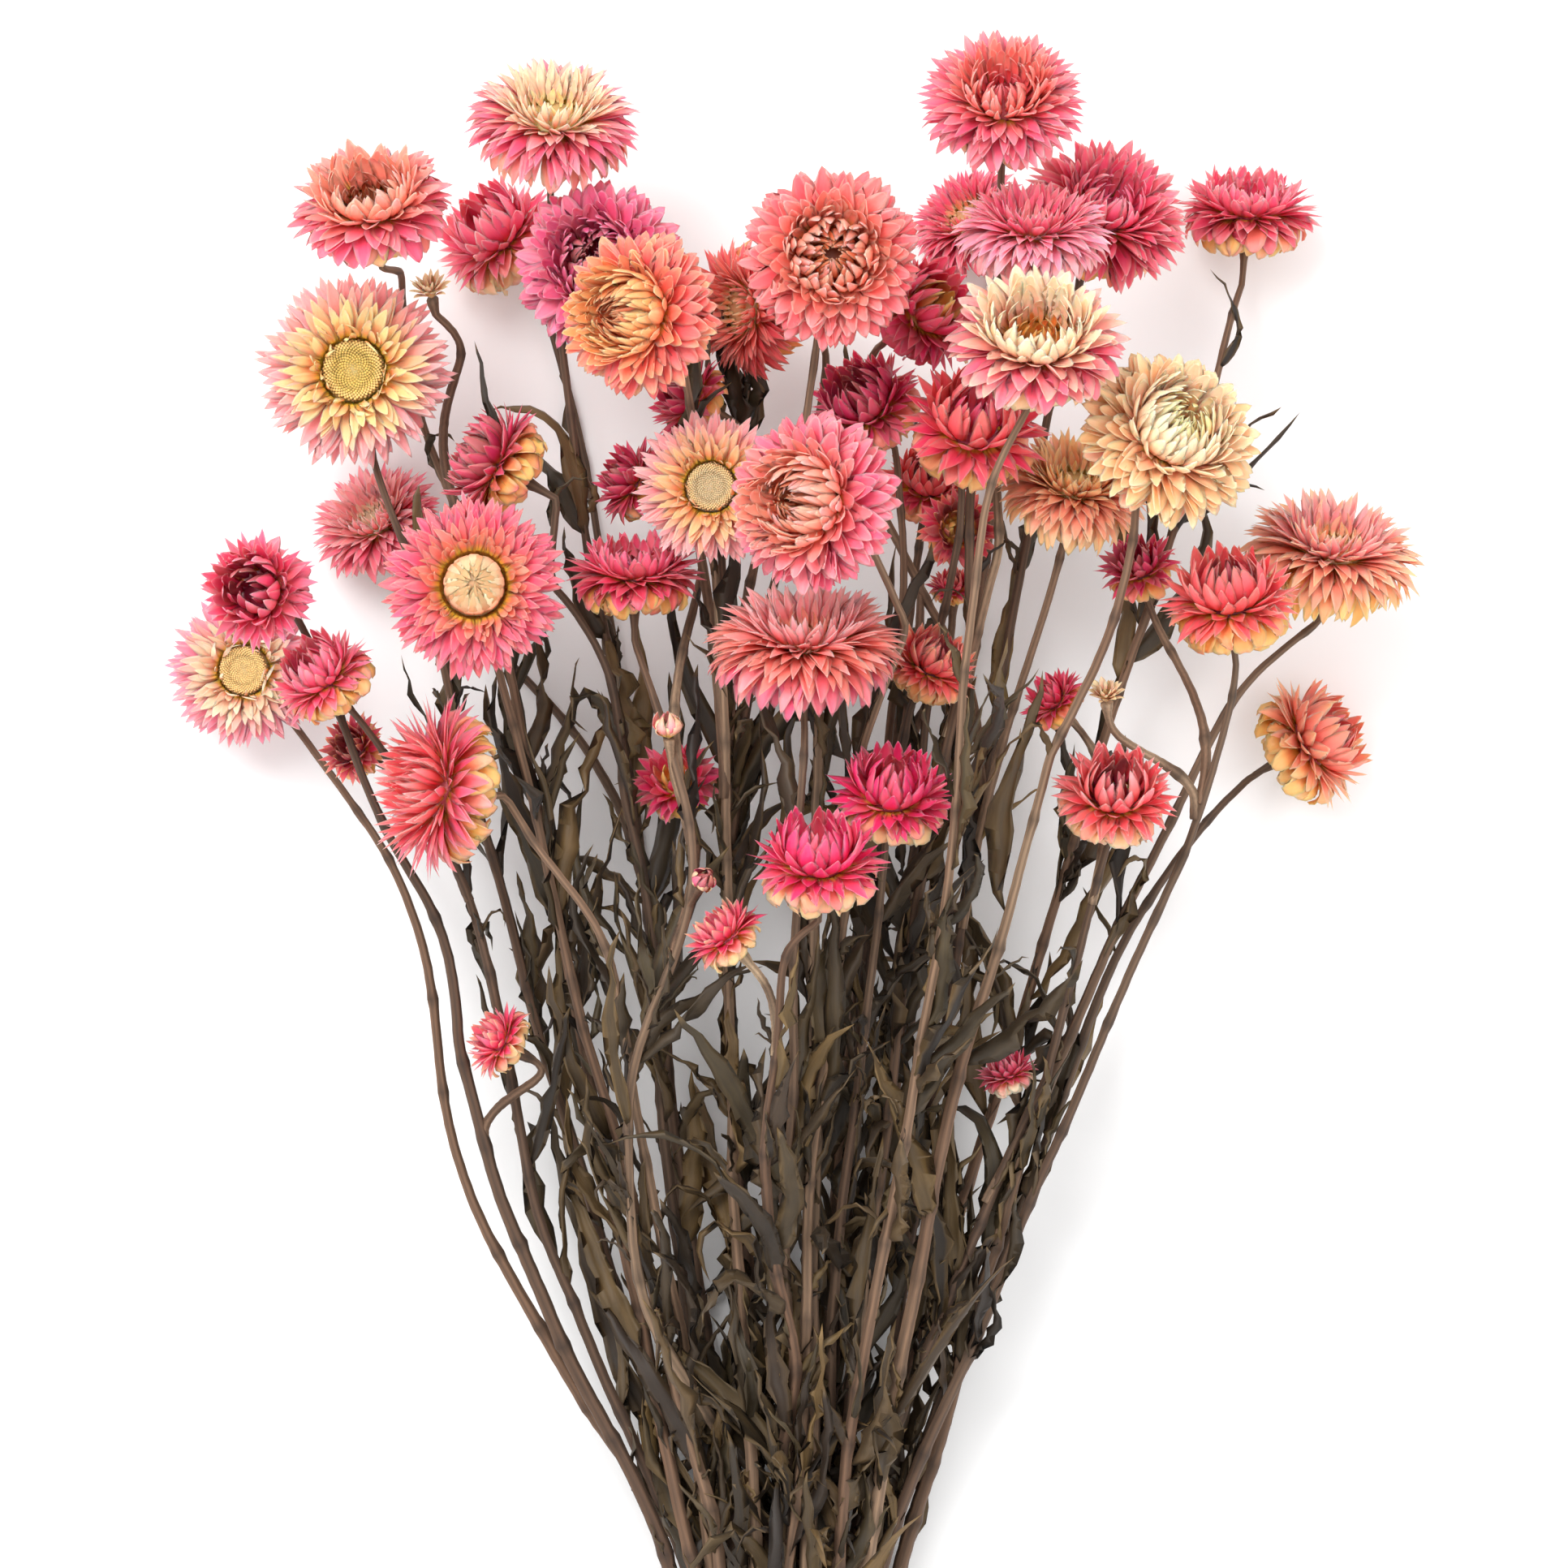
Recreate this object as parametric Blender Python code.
"""A bunch of dried strawflowers, laid on its back on a table and held by one elastic band.

Every head sits on the end of its own stem. The stems and their shrivelled leaves run down to the
band, where they are pressed into one body, and end in bare cuts below it. Run it with
blender --background --python part.py, or from Blender's text editor.

Frame: +Y runs up the bunch from the band to the heads, +X is the bunch's right side seen from
above, and +Z is up. The origin is the spot under the middle of the band that touches the table.
"""

import math
import random
from collections import namedtuple

import bmesh
import bpy
import numpy as np
from mathutils import Matrix, Vector
from mathutils.kdtree import KDTree

MM = 0.001

# Driving sizes of the bunch, in metres
GAP = 0.3 * MM
BAND_INNER_X = 20.4 * MM
BAND_INNER_Z = 14.0 * MM
BAND_THICKNESS = 1.8 * MM
BAND_TURN_WIDTH = 3.0 * MM
BAND_GROOVE = 0.6 * MM
BAND_TURNS = 3
BAND_SEGMENTS = 18
BAND_CENTRE_Z = BAND_INNER_Z + BAND_THICKNESS
SLOT_X = 17.8 * MM
SLOT_Z = 11.4 * MM
SLOT_SPACING = 3.9 * MM
SLOT_SHARE_X = 0.135
SLOT_SHARE_Z = 0.24
SLOT_ROUNDS = 400
MEAN_HEAD_Z = 60.0 * MM
CORE_LENGTH = 8.4 * MM
STRAIGHT_Y = 7.0 * MM
NECK_Y = 62.0 * MM
NECK_SPREAD = 1.75
CUT_Y = -66.0 * MM
CUT_VARIATION = 7.0 * MM
CUT_SPREAD = 1.3
STEM_TOP_RADIUS = 1.0 * MM
STEM_FOOT_RADIUS = 1.6 * MM
STOUT_FACTOR = 1.25
BRANCH_FOOT_RADIUS = 1.15 * MM
TABLE_CLEARANCE = 0.7 * MM

# In head radii: the seat on the stem, and how far above it a head's place is measured
SEAT_SHARE = 0.08
MIDDLE_LEVEL = 0.42

# Stem routes
ROUTE_POINTS = 96
BRANCH_POINTS = 30
BRANCH_SQUARE_LENGTH = 6.0 * MM
NECK_POINTS = 3
ROUTE_SMOOTHING = 12
SETTLING_TURNS = 80
LAST_ROUGH_TURNS = 12
SQUARE_LENGTH = 9.0 * MM
LEAN_IN_LENGTH = 26.0 * MM
SPLAY = 1.35
STEM_MARGIN = 2.2 * MM
HEAD_REACH_ALONG = 0.58
HEAD_REACH_ACROSS = 1.02
STEM_SPACING = 3.7 * MM
STEM_WOBBLE = 1.3 * MM
WAVES_PER_STEM = (2.3, 4.1, 7.3)
STEM_SIDES_RESOLUTION = 0
STEM_TOLERANCE = 2.0 * MM

# Leaves: slant and bend in degrees from the stem, places as shares of the stem from its head
LEAF_TRIES = 7
LEAF_FIRST = 0.22
LEAF_LAST = 0.80
LEAF_LONGEST = 62.0 * MM
LEAF_SHORTEST = 30.0 * MM
LEAF_WIDEST = 8.0 * MM
LEAF_THICKNESS = 1.0 * MM
LEAF_ROOT = 0.6 * MM
LEAF_SLANT = (14, 38)
LEAF_BEND = (-25, 40)
LEAF_TWIST = 110
LEAF_STATIONS = (0, 0.3, 0.65, 1.0)
LEAF_OUTLINE = (0.16, 1.0, 0.8)
LEAF_MARGIN = 3.0 * MM
LEAF_CLEARANCE = 5.0 * MM
LEAF_LOWEST_Y = 26.0 * MM
FOLIAGE_HALF_WIDTH = 7.0 * MM
FOLIAGE_SPREAD = 0.33

Bloom = namedtuple("Bloom", "name form width place lean colour parent join_y")
ON_TABLE = 0


def bloom(number, form, width, x, y, z, lean, colour, parent=None, join_y=0):
    """One head: its width and the place of its middle in millimetres, and the way it faces.

    A head with a parent sits on a side branch that leaves the parent's stem at the height join_y.
    A head whose z is ON_TABLE is laid down later, with its lowest point on the table.
    """
    place = Vector((x, y, z)) * MM
    kind = form if form in ("bud", "spent") else "bloom"
    mother = f"bloom_{parent:02d}" if parent else None
    return Bloom(f"{kind}_{number:02d}", form, width * MM, place, Vector(lean).normalized(),
                 colour, mother, join_y * MM)


# number, form, width, x, y, z, the way it faces, colour and, on a side branch, parent and join_y
BLOOMS = [
    bloom(1, "open", 41, -54, 395, 64, (0.05, 0.80, 0.60), "rose"),
    bloom(2, "domed", 39, -96, 374, 78, (-0.10, 0.75, 0.65), "salmon"),
    bloom(3, "cup", 33, -67, 369, ON_TABLE, (-0.50, 0.62, 0.42), "rose"),
    bloom(4, "disc", 46, -101, 337, 52, (-0.05, 0.05, 1.00), "cream"),
    bloom(5, "domed", 41, -43, 361, 66, (-0.25, 0.15, 0.96), "magenta", 6, 235),
    bloom(6, "domed", 39, -33, 349, 96, (-0.45, 0.05, 0.90), "salmon"),
    bloom(7, "open", 34, -9, 352, 46, (-0.70, -0.10, 0.60), "salmon", 22, 225),
    bloom(8, "domed", 42, 11, 362, 98, (0.05, 0.08, 1.00), "salmon"),
    bloom(9, "cup", 30, 32, 350, 62, (0.55, 0.35, 0.55), "magenta", 12, 240),
    bloom(10, "domed", 39, 51, 398, 84, (0.00, 0.62, 0.78), "rose"),
    bloom(11, "open", 30, 44, 374, ON_TABLE, (-0.45, 0.55, 0.60), "rose"),
    bloom(12, "domed", 41, 75, 373, 58, (0.25, 0.62, 0.72), "rose"),
    bloom(13, "open", 37, 58, 368, 85, (0.05, 0.90, 0.42), "rose", 10, 250),
    bloom(14, "open", 36, 110, 375, ON_TABLE, (0.05, 0.93, 0.33), "rose"),
    bloom(15, "cup_wide", 43, 58, 341, 112, (0.05, 0.72, 0.68), "salmon"),
    bloom(16, "open", 44, 89, 320, 92, (0.38, 0.42, 0.82), "cream"),
    bloom(17, "open", 37, 68, 309, 62, (0.15, 0.80, 0.55), "peach", 12, 205),
    bloom(18, "cup", 36, 44, 322, 74, (0.15, 0.65, 0.70), "rose"),
    bloom(19, "cup", 30, 20, 328, 56, (-0.40, 0.60, 0.65), "magenta"),
    bloom(20, "cup", 24, 34, 310, 30, (0.10, 0.70, 0.60), "salmon", 35, 200),
    bloom(21, "domed", 42, 7, 305, 110, (-0.48, 0.05, 0.88), "rose"),
    bloom(22, "disc", 36, -17, 309, 76, (-0.05, 0.10, 1.00), "rose"),
    bloom(23, "star", 24, -21, 330, 48, (-0.80, 0.40, 0.35), "magenta", 22, 250),
    bloom(24, "star", 23, -35, 311, 40, (-0.80, 0.40, 0.35), "magenta", 33, 240),
    bloom(25, "cup", 31, -66, 314, 66, (-0.80, 0.45, 0.10), "magenta"),
    bloom(26, "open", 33, -97, 302, ON_TABLE, (-0.40, 0.60, 0.65), "rose", 3, 215),
    bloom(27, "button", 43, -72, 286, 86, (0.00, 0.08, 1.00), "salmon"),
    bloom(28, "cup", 29, -122, 285, 76, (-0.40, 0.10, 0.90), "magenta"),
    bloom(29, "disc", 37, -128, 267, 20, (-0.12, 0.00, 0.99), "rose"),
    bloom(30, "cup", 27, -107, 264, 66, (-0.50, 0.60, 0.40), "rose"),
    bloom(31, "star", 18, -101, 248, 40, (-0.55, 0.30, 0.75), "magenta", 30, 214),
    bloom(32, "domed", 43, -80, 239, 76, (-0.90, 0.12, 0.38), "rose"),
    bloom(33, "cup_wide", 34, -35, 288, 62, (0.00, 0.95, 0.30), "rose"),
    bloom(34, "open", 47, 5, 272, 84, (0.02, 0.92, 0.38), "salmon"),
    bloom(35, "cup", 24, 34, 267, 52, (0.35, 0.75, 0.50), "salmon"),
    bloom(36, "star", 21, 41, 300, 44, (0.10, 0.15, 0.95), "magenta", 35, 240),
    bloom(37, "star", 13, 40, 286, 28, (0.00, 0.85, 0.50), "magenta", 35, 232),
    bloom(38, "cup", 31, 25, 236, 78, (0.10, 0.78, 0.60), "hot_pink"),
    bloom(39, "cup", 33, 8, 220, 96, (0.00, 0.88, 0.47), "hot_pink"),
    bloom(40, "star", 21, -13, 204, 84, (-0.60, 0.70, 0.30), "hot_pink", 39, 178),
    bloom(41, "star", 20, -66, 179, 52, (-0.80, 0.45, 0.30), "hot_pink", 28, 157),
    bloom(42, "star", 23, -25, 240, 44, (-0.20, 0.50, 0.80), "magenta", 33, 205),
    bloom(43, "cup", 30, 77, 236, 76, (0.08, 0.72, 0.68), "rose"),
    bloom(44, "cup", 34, 124, 249, ON_TABLE, (0.78, 0.45, 0.30), "rose"),
    bloom(45, "open", 44, 129, 294, 46, (0.15, 0.88, 0.45), "salmon"),
    bloom(46, "cup_wide", 34, 104, 281, 78, (-0.10, 0.88, 0.47), "rose"),
    bloom(47, "star", 21, 84, 290, 46, (-0.20, 0.70, 0.60), "magenta", 46, 235),
    bloom(48, "star", 18, 64, 259, 52, (-0.60, 0.65, 0.40), "magenta", 43, 212),
    bloom(49, "star", 16, 53, 171, 42, (-0.30, 0.85, 0.35), "hot_pink", 43, 140),
    bloom(1, "bud", 7, -27, 252, 74, (-0.10, 0.90, 0.40), "bud", 33, 225),
    bloom(2, "bud", 6, -19, 217, 84, (0.30, 0.50, 0.80), "bud", 33, 200),
    bloom(1, "spent", 11, -83, 356, 62, (-0.20, 0.85, 0.50), "straw", 2, 300),
    bloom(2, "spent", 10, 75, 261, 74, (-0.10, 0.80, 0.60), "straw", 46, 232),
]

# Points that a stem passes on its way down, in millimetres, where the route is not the plain one
VIA_POINTS = {
    "bloom_02": [(-93, 350, 36), (-88, 325, 32), (-79, 310, 34), (-68, 280, 38)],
    "bloom_04": [(-97, 312, 50), (-88, 290, 44)],
    "bloom_14": [(104, 346, 36), (101, 330, 38)],
    "bloom_15": [(47, 310, 103), (45, 287, 100), (42, 262, 95), (39, 232, 88), (35, 200, 78)],
    "bloom_16": [(80, 292, 82), (77, 271, 80), (69, 252, 76), (59, 228, 70), (38, 165, 56)],
    "bloom_28": [(-92, 225, 56), (-78, 205, 50), (-72, 165, 46), (-66, 139, 42), (-57, 119, 38)],
    "bloom_29": [(-92, 222, 28), (-83, 195, 30), (-81, 160, 32), (-74, 138, 31), (-54, 102, 27)],
    "bloom_30": [(-76, 222, 50), (-66, 180, 40), (-58, 132, 33)],
    "bloom_32": [(-62, 231, 70), (-42, 206, 66)],
    "bloom_33": [(-30, 262, 70), (-21, 228, 76), (-22, 208, 76), (-37, 170, 66), (-35, 120, 48)],
    "bloom_34": [(5, 250, 86), (3, 232, 84)],
    "bloom_39": [(0, 206, 90), (-3, 165, 76), (-3, 130, 60), (3, 98, 46)],
    "bloom_44": [(97, 229, 34), (82, 209, 36), (67, 172, 34), (60, 148, 32), (46, 112, 28)],
    "bloom_45": [(108, 266, 42), (95, 242, 44), (72, 190, 44), (57, 156, 40)],
}
STOUT_STEMS = {"bloom_28", "bloom_39", "bloom_45", "bloom_16", "bloom_08"}

# The rows of a head from the stem up, in head radii: each is (tip radius, tip height, notch radius,
# notch height), with the (radius, height) of the valley that parts it from the next row after it
SKIRT = [("row", 0.62, 0.06, 0.44, 0.12), ("valley", 0.34, 0.14)]
OUTER_ROWS = [
    ("row", 1.00, 0.36, 0.74, 0.30),
    ("valley", 0.44, 0.36),
    ("row", 0.92, 0.66, 0.66, 0.54),
    ("valley", 0.38, 0.50),
]
CUP_ROWS = [
    ("row", 1.00, 0.50, 0.64, 0.38),
    ("valley", 0.36, 0.38),
    ("row", 0.80, 0.96, 0.50, 0.70),
    ("valley", 0.30, 0.60),
]
INNER_ROW = [("row", 0.66, 0.86, 0.50, 0.72), ("valley", 0.30, 0.52)]
DOME = [("valley", 0.52, 0.76), ("row", 0.17, 0.96, 0.32, 0.90), ("centre", 0.74)]
CUP_CONE = [("valley", 0.42, 0.92), ("row", 0.13, 1.32, 0.26, 1.20), ("centre", 1.06)]

# Each form of head: how many bracts a row has, its rows from the stem up, and its full height
Form = namedtuple("Form", "bracts rows height")
FORMS = {
    "open": Form(10, SKIRT + OUTER_ROWS + INNER_ROW + [("centre", 0.58)], 0.86),
    "disc": Form(12, OUTER_ROWS + INNER_ROW + [("centre", 0.52)], 0.86),
    "domed": Form(10, OUTER_ROWS + DOME, 0.96),
    "button": Form(12, OUTER_ROWS + [("centre", 0.50)], 0.84),
    "cup": Form(8, SKIRT + CUP_ROWS + CUP_CONE, 1.32),
    "cup_wide": Form(10, SKIRT + OUTER_ROWS + DOME, 0.96),
    "star": Form(7, CUP_ROWS + [("centre", 1.20)], 1.20),
    "bud": Form(6, [("row", 1.0, 0.9, 0.84, 0.6), ("centre", 2.1)], 2.1),
    "spent": Form(7, [("row", 1.0, 1.0, 0.72, 0.7), ("valley", 0.3, 0.6), ("centre", 0.6)], 1.0),
}

# Heads whose open middle shows: the disc's radius, height at its rim and height at its crown
DISCS = {"disc": (0.26, 0.64, 0.56), "button": (0.33, 0.66, 0.84)}

COLOURS = {
    "rose": (0.80, 0.20, 0.28, 0.45),
    "salmon": (0.86, 0.36, 0.29, 0.45),
    "cream": (0.93, 0.66, 0.40, 0.45),
    "peach": (0.89, 0.45, 0.27, 0.45),
    "magenta": (0.62, 0.10, 0.20, 0.45),
    "hot_pink": (0.78, 0.11, 0.25, 0.45),
    "disc": (0.72, 0.58, 0.22, 0.80),
    "bud": (0.62, 0.40, 0.30, 0.60),
    "straw": (0.66, 0.55, 0.36, 0.75),
    "stem": (0.15, 0.10, 0.06, 0.85),
    "band": (0.62, 0.48, 0.30, 0.55),
}


def material(name):
    """One Principled finish from COLOURS, whose fourth number is its roughness."""
    made = bpy.data.materials.get(name)
    if made:
        return made
    made = bpy.data.materials.new(name)
    made.use_nodes = True
    red, green, blue, roughness = COLOURS[name]
    shader = made.node_tree.nodes["Principled BSDF"]
    shader.inputs["Base Color"].default_value = (red, green, blue, 1)
    shader.inputs["Roughness"].default_value = roughness
    shader.inputs["Metallic"].default_value = 0
    return made


def mesh_object(name, points, faces, colour, collection):
    """A closed mesh as an object, its faces turned outwards and its triangles cut."""
    mesh = bpy.data.meshes.new(name)
    mesh.from_pydata([tuple(p) for p in points], [], faces)
    shell = bmesh.new()
    shell.from_mesh(mesh)
    bmesh.ops.triangulate(shell, faces=shell.faces)
    bmesh.ops.recalc_face_normals(shell, faces=shell.faces)
    shell.to_mesh(mesh)
    shell.free()
    mesh.materials.append(material(colour))
    made = bpy.data.objects.new(name, mesh)
    collection.objects.link(made)
    return made


# Heads

def circle_points(radius, height, count, phase):
    """count points of a level ring about the head's axis."""
    angles = phase + 2 * math.pi * np.arange(count) / count
    level = np.full(count, height)
    return np.stack([radius * np.cos(angles), radius * np.sin(angles), level], axis=1)


def head_shell(form):
    """Points and faces of a head in head radii, its seat at the origin and its face to +Z.

    A row is a star of tips with notches half way between them. The ring after it has one point
    at each notch, and the next row's tips stand at those points, so that the rows alternate.
    """
    count = form.bracts
    half_pitch = math.pi / count
    phase = 0.0
    rings = [np.zeros((1, 3)), circle_points(SEAT_SHARE, 0, count, phase)]
    lower = list(range(1, count + 1))
    faces = [(0, lower[i - 1], lower[i]) for i in range(count)]
    for kind, *sizes in form.rows:
        start = sum(len(ring) for ring in rings)
        if kind == "row":
            tip_radius, tip_height, notch_radius, notch_height = sizes
            rings.append(circle_points(tip_radius, tip_height, count, phase))
            rings.append(circle_points(notch_radius, notch_height, count, phase + half_pitch))
            tips = range(start, start + count)
            notches = range(start + count, start + 2 * count)
            for i in range(count):
                after = (i + 1) % count
                faces.append((lower[i], tips[i], notches[i]))
                faces.append((lower[i], notches[i], lower[after]))
                faces.append((lower[after], notches[i], tips[after]))
            lower = [number for pair in zip(tips, notches) for number in pair]
            phase += half_pitch
        elif kind == "valley":
            radius, height = sizes
            rings.append(circle_points(radius, height, count, phase))
            upper = list(range(start, start + count))
            for i in range(count):
                if len(lower) == count:
                    faces.append((lower[i - 1], lower[i], upper[i], upper[i - 1]))
                else:
                    tip, notch, next_tip = lower[2 * i], lower[2 * i + 1], lower[2 * i + 2 - 2 * count]
                    faces.append((tip, notch, upper[i]))
                    faces.append((notch, next_tip, upper[i]))
                    faces.append((tip, upper[i], upper[i - 1]))
            lower = upper
        else:
            rings.append(np.array([[0, 0, sizes[0]]]))
            faces += [(lower[i - 1], lower[i], start) for i in range(len(lower))]
    return np.concatenate(rings), faces


def head_frame(head):
    """The matrix from a head's own axes to the bunch, with a seeded turn about its axis."""
    turn = random.Random(head.name).uniform(0, 2 * math.pi)
    seat = head.place - head.lean * MIDDLE_LEVEL * head.width / 2
    facing = head.lean.to_track_quat("Z", "Y").to_matrix().to_4x4()
    return Matrix.Translation(seat) @ facing @ Matrix.Rotation(turn, 4, "Z")


def laid_down(head):
    """The head, lowered until its lowest point touches the table if it is one that lies there."""
    if head.place.z != ON_TABLE:
        return head
    points, _ = head_shell(FORMS[head.form])
    matrix = head_frame(head)
    lowest = min((matrix @ Vector(p * head.width / 2)).z for p in points)
    return head._replace(place=head.place - Vector((0, 0, lowest)))


def make_head(head, collection):
    """A head as one object, with its origin at its seat on the stem."""
    points, faces = head_shell(FORMS[head.form])
    made = mesh_object(head.name, points * head.width / 2, faces, head.colour, collection)
    made.matrix_world = head_frame(head)
    return made


def make_disc(head, collection):
    """The domed middle of a head that has opened flat, resting in the hollow of its bracts."""
    radius, rim, crown = DISCS[head.form]
    scale = head.width / 2
    floor = next(ring[1] for ring in FORMS[head.form].rows if ring[0] == "centre")
    count = FORMS[head.form].bracts
    rings = [
        circle_points(radius * scale, floor * scale + GAP, count, 0),
        circle_points(radius * scale, rim * scale, count, 0),
    ]
    points = np.concatenate([*rings, [[0, 0, crown * scale]]])
    faces = [tuple(range(count))]
    for i in range(count):
        after = (i + 1) % count
        faces.append((i, after, count + after, count + i))
        faces.append((count + i, count + after, 2 * count))
    made = mesh_object(f"{head.name}_disc", points, faces, "disc", collection)
    made.matrix_world = head_frame(head)
    return made


# Stem routes

def keep_out(points, heads, margin):
    """The shifts that carry points out of the heads, each taken as a flat ellipsoid."""
    shifts = np.zeros_like(points)
    for head in heads:
        radius = head.width / 2
        height = FORMS[head.form].height * radius
        axis = np.array(head.lean)
        centre = np.array(head.place) + axis * (height / 2 - MIDDLE_LEVEL * radius)
        away = points - centre
        along = away @ axis
        across = away - along[:, None] * axis
        reach_along = HEAD_REACH_ALONG * height + margin
        reach_across = HEAD_REACH_ACROSS * radius + margin
        share = np.hypot(along / reach_along, np.linalg.norm(across, axis=1) / reach_across)
        outward = axis * (along / reach_along**2)[:, None] + across / reach_across**2
        outward /= np.maximum(np.linalg.norm(outward, axis=1), 1e-9)[:, None]
        shifts += outward * (np.clip(1 - share, 0, None) * reach_along)[:, None]
    return shifts


def press_apart(points, owners):
    """The shifts that part the points of different stems where they would run into each other."""
    tree = KDTree(len(points))
    for number, point in enumerate(points):
        tree.insert(point, number)
    tree.balance()
    shifts = np.zeros_like(points)
    for number, point in enumerate(points):
        for other, found, distance in tree.find_range(point, STEM_SPACING):
            if owners[found] != owners[number] and distance > 0:
                away = point - np.array(other)
                shifts[number] += 0.5 * away * (STEM_SPACING / distance - 1)
    return shifts


def curve_point(start, first, second, end, share):
    """The point at a share of the way along the curve from start to end, drawn by two handles."""
    rest = 1 - share
    return (start * rest**3 + first * 3 * share * rest**2
            + second * 3 * share**2 * rest + end * share**3)


def spaced(points, count):
    """count points at equal steps along the polyline through points."""
    points = np.array([tuple(p) for p in points])
    steps = np.linalg.norm(np.diff(points, axis=0), axis=1)
    reach = np.concatenate([[0], np.cumsum(steps)])
    wanted = np.linspace(0, reach[-1], count)
    return np.stack([np.interp(wanted, reach, points[:, k]) for k in range(3)], axis=1)


def smoothed(points, fixed, rounds):
    """points with each free one drawn half way to the middle of its neighbours, rounds times."""
    points = points.copy()
    free = ~fixed
    free[[0, -1]] = False
    for _ in range(rounds):
        middle = (points[:-2] + points[2:]) / 2
        points[1:-1][free[1:-1]] += 0.5 * (middle - points[1:-1])[free[1:-1]]
    return points


def wobble(points, seed, size):
    """Slow side to side waves of a dried stem, fading out at both ends."""
    draw = random.Random(seed)
    along = np.linspace(0, 1, len(points))
    fade = np.sin(np.pi * along) ** 0.5
    waves = np.zeros_like(points)
    for axis in (0, 2):
        for turns in WAVES_PER_STEM:
            shift = draw.uniform(0, 2 * math.pi)
            waves[:, axis] += np.sin(2 * math.pi * turns * along + shift) / turns
    return points + waves * (fade * size)[:, None]


def band_slots(heads):
    """Where each main stem passes the band: packed in an ellipse, in the order of the heads."""
    slots = np.array([(h.place.x * SLOT_SHARE_X, (h.place.z - MEAN_HEAD_Z) * SLOT_SHARE_Z)
                      for h in heads])
    for _ in range(SLOT_ROUNDS):
        for i in range(len(slots)):
            away = slots[i] - slots
            distance = np.linalg.norm(away, axis=1)
            near = (distance < SLOT_SPACING) & (distance > 0)
            push = away[near] / distance[near, None] * (SLOT_SPACING - distance[near, None])
            slots[i] += 0.3 * push.sum(axis=0)
            share = math.hypot(slots[i][0] / SLOT_X, slots[i][1] / SLOT_Z)
            if share > 1:
                slots[i] /= share
    return {h.name: slot for h, slot in zip(heads, slots)}


def settle(routes, fixed, heads, apart):
    """Bends routes clear of the heads, of the table and, if apart, of each other.

    What is bent is each route's shift from its first course, which is kept smooth.
    """
    base = np.stack(routes)
    owners = np.repeat(np.arange(len(base)), base.shape[1])
    free = ~np.stack(fixed)
    lowest = STEM_FOOT_RADIUS * STOUT_FACTOR + TABLE_CLEARANCE
    shifts = np.zeros_like(base)
    for turn in range(SETTLING_TURNS):
        points = (base + shifts).reshape(-1, 3)
        push = keep_out(points, heads, STEM_MARGIN)
        if apart:
            push += press_apart(points, owners)
        push[:, 2] += np.clip(lowest - points[:, 2], 0, None)
        shifts += push.reshape(base.shape) * free[:, :, None]
        if turn < SETTLING_TURNS - LAST_ROUGH_TURNS:
            middle = (shifts[:, :-2] + shifts[:, 2:]) / 2
            inner = free[:, 1:-1, None]
            shifts[:, 1:-1] += 0.5 * (middle - shifts[:, 1:-1]) * inner
    return base + shifts


def main_route(head, slot):
    """Seat, square start, any via points, neck, band and cut of one main stem."""
    draw = random.Random(head.name + " stem")
    radius = head.width / 2
    seat = head.place - head.lean * (MIDDLE_LEVEL * radius + GAP)
    square = seat - head.lean * SQUARE_LENGTH
    neck = Vector((slot[0] * NECK_SPREAD, NECK_Y, BAND_CENTRE_Z + slot[1] * NECK_SPREAD))
    via = [Vector(p) * MM for p in VIA_POINTS.get(head.name, [])]
    if not via:
        lean_in = square - head.lean * LEAN_IN_LENGTH
        chord = (square - neck).normalized()
        rise = Vector((chord.x * SPLAY, chord.y + SPLAY - 1, chord.z)).normalized()
        handle = neck + rise * (square - neck).length * 0.4
        via = [curve_point(square, lean_in, handle, neck, share) for share in (0.25, 0.5, 0.75)]
    through = Vector((slot[0], STRAIGHT_Y, BAND_CENTRE_Z + slot[1]))
    beyond = Vector((slot[0], -STRAIGHT_Y, BAND_CENTRE_Z + slot[1]))
    cut = Vector((slot[0] * CUT_SPREAD, CUT_Y + draw.uniform(-1, 1) * CUT_VARIATION,
                  BAND_CENTRE_Z + slot[1] * CUT_SPREAD))
    lowest = STEM_FOOT_RADIUS * STOUT_FACTOR + TABLE_CLEARANCE
    for point in (neck, cut):
        point.z = max(point.z, lowest)
    points = spaced([seat, square, *via, neck, through, beyond, cut], ROUTE_POINTS)
    fixed = np.abs(points[:, 1]) <= STRAIGHT_Y * 1.05
    fixed[:NECK_POINTS] = True
    points = smoothed(points, fixed, ROUTE_SMOOTHING)
    waved = wobble(points, head.name + " wobble", STEM_WOBBLE)
    points[~fixed] = waved[~fixed]
    return points, fixed


def branch_route(head, mother):
    """A side branch from its head down into the middle of its mother stem, at an acute fork."""
    number = int(np.argmin(np.abs(mother[:, 1] - head.join_y)))
    join = Vector(mother[number])
    up = (Vector(mother[number - 2]) - join).normalized()
    radius = head.width / 2
    seat = head.place - head.lean * (MIDDLE_LEVEL * radius + GAP)
    square = seat - head.lean * BRANCH_SQUARE_LENGTH
    reach = (square - join).length
    first = square - head.lean * 0.3 * reach
    second = join + up * 0.45 * reach
    course = [curve_point(square, first, second, join, share / 6) for share in range(1, 6)]
    points = spaced([seat, square, *course, join], BRANCH_POINTS)
    fixed = np.zeros(len(points), bool)
    fixed[:NECK_POINTS] = True
    fixed[-1] = True
    return smoothed(points, fixed, ROUTE_SMOOTHING // 4), fixed


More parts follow.
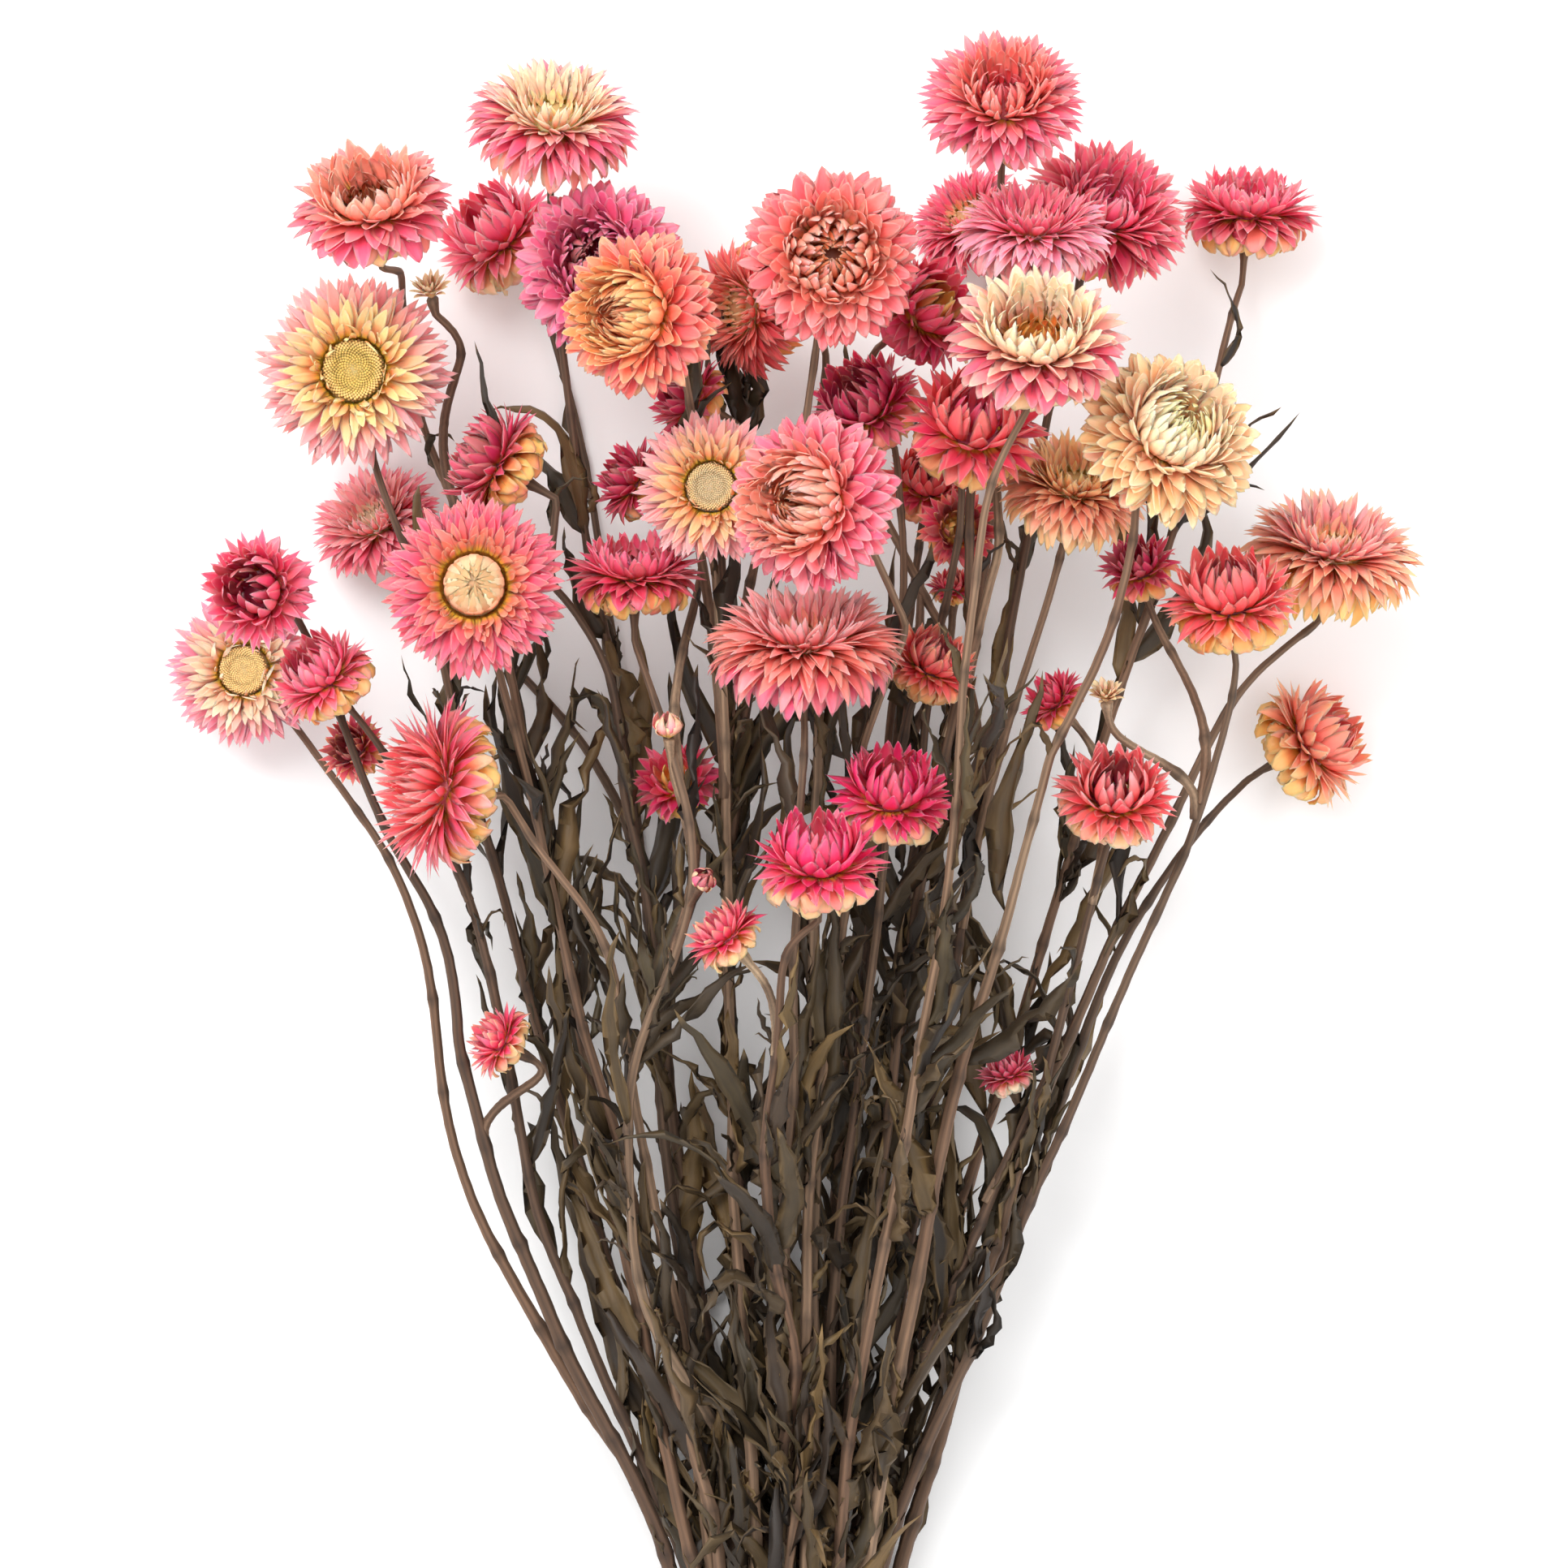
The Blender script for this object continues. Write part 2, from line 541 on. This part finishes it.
def all_routes(heads):
    """The centre line of every stem, from its head's seat down, by the head's name."""
    mains = [h for h in heads if not h.parent]
    branches = [h for h in heads if h.parent]
    slots = band_slots(mains)
    drawn, fixed = zip(*[main_route(h, slots[h.name]) for h in mains])
    routes = dict(zip([h.name for h in mains], settle(drawn, fixed, heads, apart=True)))
    drawn, fixed = zip(*[branch_route(h, routes[h.parent]) for h in branches])
    settled = settle(drawn, fixed, heads, apart=False)
    routes.update(zip([h.name for h in branches], settled))
    return routes


def thinned(points, tolerance):
    """The numbers of the points that a polyline needs to stay within tolerance of all of them."""
    chord = points[-1] - points[0]
    length = np.linalg.norm(chord)
    away = points - points[0]
    along = np.clip(away @ chord / max(length, 1e-9) ** 2, 0, 1)
    gaps = np.linalg.norm(away - along[:, None] * chord, axis=1)
    worst = int(np.argmax(gaps))
    if len(points) < 3 or gaps[worst] < tolerance:
        return [0, len(points) - 1]
    lower = thinned(points[: worst + 1], tolerance)
    upper = thinned(points[worst:], tolerance)
    return lower + [worst + i for i in upper[1:]]


def corner_points(route, branch):
    """The points that a stem's tube keeps: few, but its first two and its straight in the band."""
    ends = [0, 1, len(route) - 1]
    if not branch:
        straight = np.flatnonzero(np.abs(route[:, 1]) <= STRAIGHT_Y * 1.05)
        ends += [int(straight[0]), int(straight[-1])]
    ends = sorted(set(ends))
    kept = [0]
    for start, end in zip(ends, ends[1:]):
        kept += [start + i for i in thinned(route[start : end + 1], STEM_TOLERANCE)[1:]]
    return kept


def make_stem(head, route, collection):
    """One stem as a tapered tube with filled ends, made a mesh for the union."""
    branch = head.parent is not None
    foot = BRANCH_FOOT_RADIUS if branch else STEM_FOOT_RADIUS
    if head.name in STOUT_STEMS:
        foot *= STOUT_FACTOR
    kept = corner_points(route, branch)
    curve = bpy.data.curves.new(head.name + "_stem", "CURVE")
    curve.dimensions = "3D"
    curve.bevel_depth = 1
    curve.bevel_resolution = STEM_SIDES_RESOLUTION
    curve.use_fill_caps = True
    spline = curve.splines.new("POLY")
    spline.points.add(len(kept) - 1)
    for point, number in zip(spline.points, kept):
        share = number / (len(route) - 1)
        point.co = (*route[number], 1)
        point.radius = STEM_TOP_RADIUS + (foot - STEM_TOP_RADIUS) * min(1, 1.6 * share)
    tube = bpy.data.objects.new(curve.name, curve)
    collection.objects.link(tube)
    graph = bpy.context.evaluated_depsgraph_get()
    mesh = bpy.data.meshes.new_from_object(tube.evaluated_get(graph))
    shell = bmesh.new()
    shell.from_mesh(mesh)
    bmesh.ops.remove_doubles(shell, verts=shell.verts, dist=1e-6)
    bmesh.ops.triangulate(shell, faces=shell.faces)
    bmesh.ops.recalc_face_normals(shell, faces=shell.faces)
    shell.to_mesh(mesh)
    shell.free()
    made = bpy.data.objects.new(curve.name + "_solid", mesh)
    collection.objects.link(made)
    bpy.data.objects.remove(tube)
    return made


# Leaves

def leaf_line(route, share, length, draw):
    """A leaf's rib: it leaves the stem at a slant, and bends back along it or hangs away."""
    number = int(share * (len(route) - 1))
    foot = Vector(route[number])
    up = (Vector(route[number - 2]) - Vector(route[min(number + 2, len(route) - 1)])).normalized()
    side = up.orthogonal().normalized()
    side.rotate(Matrix.Rotation(draw.uniform(0, 2 * math.pi), 3, up))
    slant = math.radians(draw.uniform(*LEAF_SLANT))
    bend = math.radians(draw.uniform(*LEAF_BEND))
    first = foot + (up * math.cos(slant) + side * math.sin(slant)) * length * 0.5
    last = first + (up * math.cos(bend) + side * math.sin(bend)) * length * 0.5
    line = [foot * (1 - t) ** 2 + first * 2 * t * (1 - t) + last * t**2 for t in LEAF_STATIONS]
    return line, side


def leaf_plan(head, routes, heads, taken):
    """The leaves of one stem, leaving out those that would run into something else.

    taken holds the points of the other stems and leaves, and gets those of each leaf planned.
    """
    draw = random.Random(head.name + " leaves")
    route = routes[head.name]
    plan = []
    for number in range(LEAF_TRIES):
        span = LEAF_LAST - LEAF_FIRST
        share = LEAF_FIRST + span * (number + draw.random()) / LEAF_TRIES
        length = draw.uniform(LEAF_SHORTEST, LEAF_LONGEST)
        width = LEAF_WIDEST * draw.uniform(0.55, 1.0)
        twist = math.radians(draw.uniform(-LEAF_TWIST, LEAF_TWIST))
        line, side = leaf_line(route, share, length, draw)
        outer = spaced(line, 2 * len(line))[2:]
        clear = np.abs(keep_out(outer, heads, LEAF_MARGIN)).max() == 0
        above = outer[:, 2].min() > LEAF_WIDEST / 2 + TABLE_CLEARANCE
        beyond_band = outer[:, 1].min() > LEAF_LOWEST_Y
        reach = FOLIAGE_HALF_WIDTH + FOLIAGE_SPREAD * outer[:, 1]
        inside = (np.abs(outer[:, 0]) < reach).all()
        others = np.concatenate([points for name, points in taken if name != head.name])
        apart = np.linalg.norm(others[:, None] - outer[None], axis=2).min() > LEAF_CLEARANCE
        if clear and above and beyond_band and inside and apart:
            plan.append((line, side, width, twist))
            taken.append((head.name + " leaf", outer))
    return plan


def all_leaves(heads, routes):
    """Every leaf of the bunch, stem by stem, by the names they get."""
    taken = list(routes.items())
    leaves = {}
    for head in heads:
        if not head.parent:
            for number, leaf in enumerate(leaf_plan(head, routes, heads, taken)):
                leaves[f"{head.name}_leaf_{number}"] = leaf
    return leaves


def make_leaf(name, line, side, width, twist, collection):
    """One narrow blade with a raised rib: a three-sided loft that ends in a point."""
    points = []
    for k, fullness in enumerate(LEAF_OUTLINE):
        along = (line[k + 1] - line[max(k - 1, 0)]).normalized()
        across = along.cross(side).normalized() * width / 2 * fullness
        across.rotate(Matrix.Rotation(twist * LEAF_STATIONS[k], 3, along))
        rise = along.cross(across).normalized() * LEAF_THICKNESS
        sink = along * (-LEAF_ROOT if k == 0 else 0)
        points += [line[k] - across + sink, line[k] + across + sink, line[k] + rise + sink]
    tip = len(points)
    points.append(line[-1])
    faces = [(0, 1, 2)]
    for k in range(0, tip - 3, 3):
        for i in range(3):
            after = (i + 1) % 3
            faces.append((k + i, k + after, k + 3 + after, k + 3 + i))
    faces += [(tip - 3 + i, tip - 3 + (i + 1) % 3, tip) for i in range(3)]
    return mesh_object(name, points, faces, "stem", collection)


# The pressed stems and the band

def ellipse_ring(radius_x, radius_z, y, count, phase=0.5):
    """count points of an upright ellipse about the band's middle, at the height y of the bunch."""
    angles = -math.pi / 2 + 2 * math.pi * (np.arange(count) + phase) / count
    return [Vector((radius_x * math.cos(a), y, BAND_CENTRE_Z + radius_z * math.sin(a)))
            for a in angles]


def bridge_rings(count, rings, closed):
    """Quads between neighbouring rings, from the last back to the first where closed."""
    faces = []
    for k in range(rings if closed else rings - 1):
        low, high = k * count, (k + 1) % rings * count
        for i in range(count):
            after = (i + 1) % count
            faces.append((low + i, low + after, high + after, high + i))
    return faces


def make_core(collection):
    """The drum of stems pressed together under the band, in which every stem is rooted."""
    flat = math.cos(math.pi / BAND_SEGMENTS)
    points = []
    for y in (-CORE_LENGTH / 2, CORE_LENGTH / 2):
        points += ellipse_ring((BAND_INNER_X - GAP) / flat, (BAND_INNER_Z - GAP) / flat, y,
                               BAND_SEGMENTS)
    faces = bridge_rings(BAND_SEGMENTS, 2, closed=False)
    faces += [tuple(range(BAND_SEGMENTS)), tuple(range(BAND_SEGMENTS, 2 * BAND_SEGMENTS))]
    return mesh_object("core", points, faces, "stem", collection)


def keep_one_body(shell):
    """Leaves only the largest connected skin: scraps and sealed hollows inside it go."""
    left = set(shell.faces)
    skins = []
    while left:
        start = left.pop()
        skin = [start]
        for face in skin:
            for edge in face.edges:
                for neighbour in edge.link_faces:
                    if neighbour in left:
                        left.remove(neighbour)
                        skin.append(neighbour)
        skins.append(skin)
    largest = max(skins, key=len)
    dropped = [face for skin in skins if skin is not largest for face in skin]
    bmesh.ops.delete(shell, geom=dropped, context="FACES")
    return len(skins) - 1


def make_stems(heads, parts, workshop):
    """Every stem and leaf, joined with the pressed core into one body."""
    routes = all_routes(heads)
    for head in heads:
        make_stem(head, routes[head.name], workshop)
    for name, leaf in all_leaves(heads, routes).items():
        make_leaf(name, *leaf, workshop)
    joined = make_core(parts)
    joined.name = "stems"
    union = joined.modifiers.new("Join stems and leaves", "BOOLEAN")
    union.operation = "UNION"
    union.operand_type = "COLLECTION"
    union.collection = workshop
    union.solver = "MANIFOLD"
    graph = bpy.context.evaluated_depsgraph_get()
    mesh = bpy.data.meshes.new_from_object(joined.evaluated_get(graph))
    joined.modifiers.clear()
    for helper in list(workshop.objects):
        bpy.data.objects.remove(helper)
    shell = bmesh.new()
    shell.from_mesh(mesh)
    bmesh.ops.triangulate(shell, faces=shell.faces)
    dropped = keep_one_body(shell)
    shell.to_mesh(mesh)
    shell.free()
    mesh.materials.clear()
    mesh.materials.append(material("stem"))
    joined.data = mesh
    print("stems:", len(mesh.polygons), "triangles,", dropped, "loose pieces dropped")


def make_band(collection):
    """The elastic band: its turns lie side by side, with a groove between them."""
    half = BAND_TURNS * BAND_TURN_WIDTH / 2
    profile = [(-half, 0)]
    for turn in range(BAND_TURNS):
        start = -half + turn * BAND_TURN_WIDTH
        profile.append((start + 0.15 * BAND_TURN_WIDTH, BAND_THICKNESS))
        profile.append((start + 0.85 * BAND_TURN_WIDTH, BAND_THICKNESS))
        if turn < BAND_TURNS - 1:
            profile.append((start + BAND_TURN_WIDTH, BAND_THICKNESS - BAND_GROOVE))
    profile.append((half, 0))
    points = []
    flat = math.cos(math.pi / BAND_SEGMENTS)
    for y, rise in profile:
        points += ellipse_ring((BAND_INNER_X + rise) / flat, (BAND_INNER_Z + rise) / flat, y,
                               BAND_SEGMENTS)
    faces = bridge_rings(BAND_SEGMENTS, len(profile), closed=True)
    return mesh_object("band", points, faces, "band", collection)


def main():
    for old in list(bpy.data.objects):
        bpy.data.objects.remove(old)
    parts = bpy.data.collections.new("Dried strawflower bunch")
    workshop = bpy.data.collections.new("Stems and leaves to join")
    bpy.context.scene.collection.children.link(parts)
    bpy.context.scene.collection.children.link(workshop)
    heads = [laid_down(head) for head in BLOOMS]
    for head in heads:
        make_head(head, parts)
        if head.form in DISCS:
            make_disc(head, parts)
    make_stems(heads, parts, workshop)
    make_band(parts)
    workshop.hide_render = True


main()
